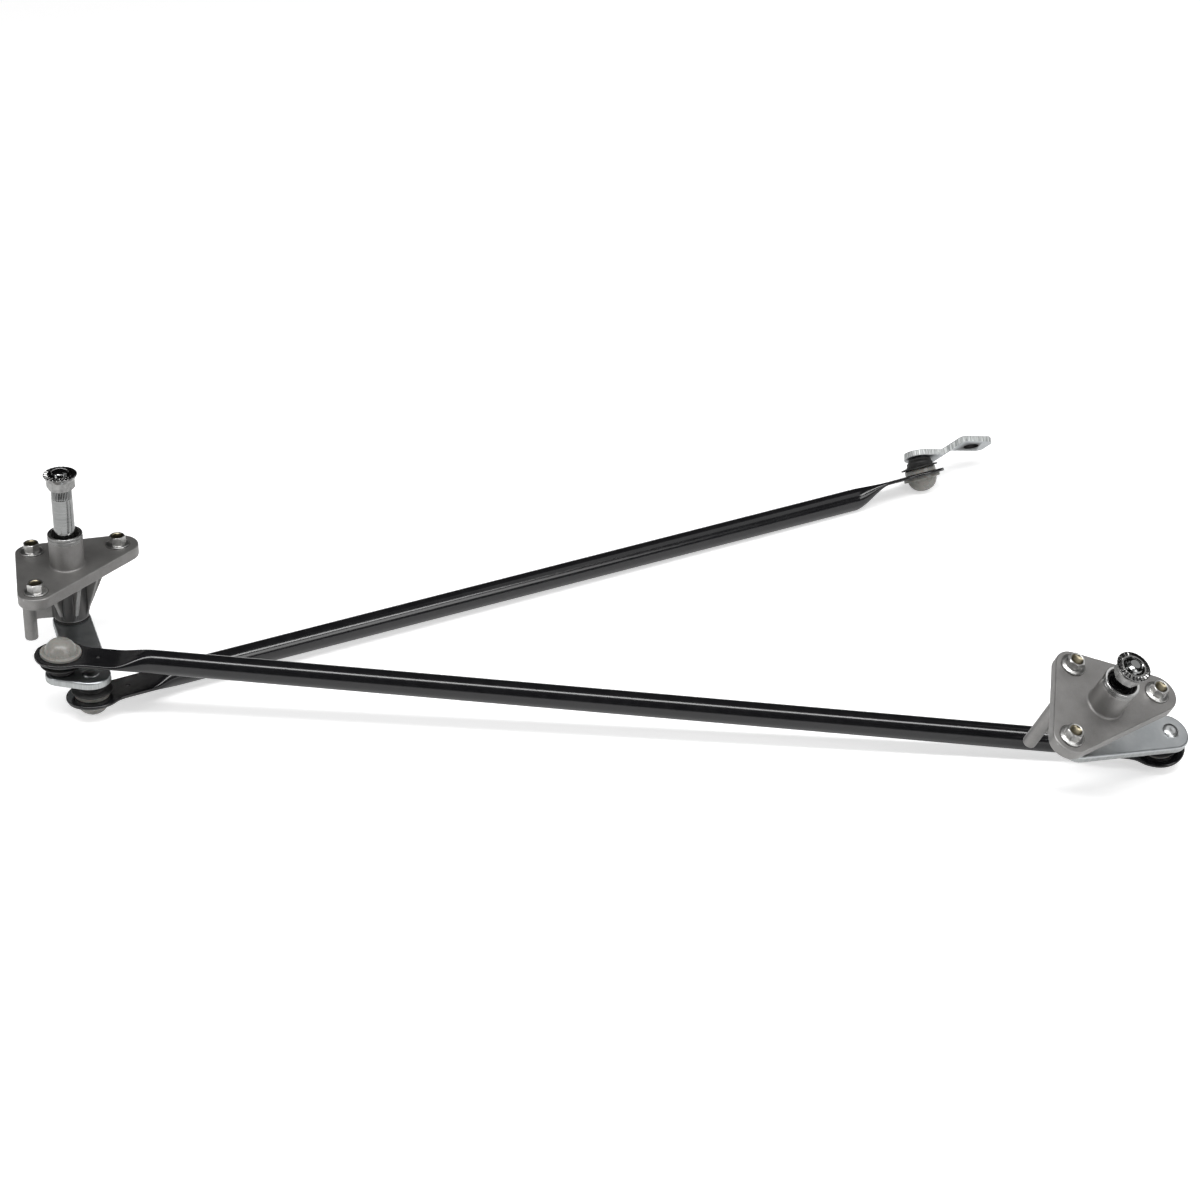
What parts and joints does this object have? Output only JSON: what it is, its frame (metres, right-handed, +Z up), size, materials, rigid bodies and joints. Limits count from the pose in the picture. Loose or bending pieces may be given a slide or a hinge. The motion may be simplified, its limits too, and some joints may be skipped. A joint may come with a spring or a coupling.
{
  "type": "wiper_linkage",
  "caption": "Windscreen wiper linkage with two cast pivots, steel levers, black tubular links on nylon ball sockets, and a stepped motor crank",
  "frame": {"origin": "Left spindle axis at the upper face of the left pivot plate, where the plate meets the cowl panel", "axes": "+Z up the left spindle towards the wiper arm; +X along the linkage towards the right pivot; +Y away from the viewer, towards the motor crank"},
  "size_m": [0.6825, 0.4714, 0.1242],
  "materials": {
    "cast_alloy": "die-cast, matte, fine grain",
    "bronze": "sintered bush, dull",
    "black_rubber": "moulded, satin",
    "ring_steel": "thin pressed ring, bright",
    "bolt_zinc": "zinc plated, faint yellow",
    "spindle_chrome": "ground and bright plated",
    "spring_steel": "oiled spring steel",
    "lever_zinc": "zinc plated pressing with sheared edges",
    "stud_steel": "turned and zinc plated",
    "tube_black": "black coating, satin",
    "socket_nylon": "natural nylon, greyed"
  },
  "bodies": {
    "left_housing": {"left_pivot_housing": "cast_alloy", "left_upper_bush": "bronze", "left_lower_bush": "bronze", "left_spindle_seal": "black_rubber", "left_boss_ring": "ring_steel", "left_mounting_bolts": "bolt_zinc"},
    "left_lever": {"left_spindle": "spindle_chrome", "left_retaining_clip": "spring_steel", "left_spindle_nut": "bolt_zinc", "left_thrust_washer": "black_rubber", "left_lever_plate": "lever_zinc", "left_front_ball_stud": "stud_steel", "left_drive_ball_stud": "stud_steel"},
    "front_link": {"front_link_tube": "tube_black", "front_left_socket": "socket_nylon", "front_left_boot": "black_rubber", "front_right_socket": "socket_nylon", "front_right_boot": "black_rubber"},
    "right_lever": {"right_lever_plate": "lever_zinc", "right_ball_stud": "stud_steel", "right_spindle": "spindle_chrome", "right_retaining_clip": "spring_steel", "right_spindle_nut": "bolt_zinc", "right_thrust_washer": "black_rubber"},
    "right_housing": {"right_pivot_housing": "cast_alloy", "right_upper_bush": "bronze", "right_lower_bush": "bronze", "right_spindle_seal": "black_rubber", "right_boss_ring": "ring_steel", "right_mounting_bolts": "bolt_zinc"},
    "drive_link": {"drive_link_tube": "tube_black", "drive_left_socket": "socket_nylon", "drive_left_boot": "black_rubber", "drive_right_socket": "socket_nylon", "drive_right_boot": "black_rubber"},
    "crank": {"crank_arm": "lever_zinc", "crank_ball_stud": "stud_steel"}
  },
  "joints": [
    {"name": "left_spindle_turn", "type": "hinge", "parent": "left_housing", "child": "left_lever", "pos_m": [0, 0, 0], "axis": [0, 0, 1], "range_deg": [-33, 57]},
    {"name": "front_left_ball_turn", "type": "hinge", "parent": "left_lever", "child": "front_link", "pos_m": [0.00317, -0.06492, -0.0238], "axis": [0, 0, 1], "range_deg": [-60, 15]},
    {"name": "drive_left_ball_turn", "type": "hinge", "parent": "left_lever", "child": "drive_link", "pos_m": [0.02014, -0.06756, -0.0527], "axis": [0, 0, 1], "range_deg": [-12, 40]},
    {"name": "front_right_ball_turn", "type": "hinge", "parent": "front_link", "child": "right_lever", "pos_m": [0.63248, -0.12363, -0.0527], "axis": [0.3386, -0.3459, 0.8751], "range_deg": [-40, 35]},
    {"name": "right_spindle_turn", "type": "hinge", "parent": "right_lever", "child": "right_housing", "pos_m": [0.59307, -0.17068, 0.00418], "axis": [0.3386, -0.3459, 0.8751], "range_deg": [-45, 45]},
    {"name": "crank_ball_turn", "type": "hinge", "parent": "drive_link", "child": "crank", "pos_m": [0.52688, 0.22031, -0.0527], "axis": [0.1107, -0.6799, -0.7249], "continuous": true}
  ]
}
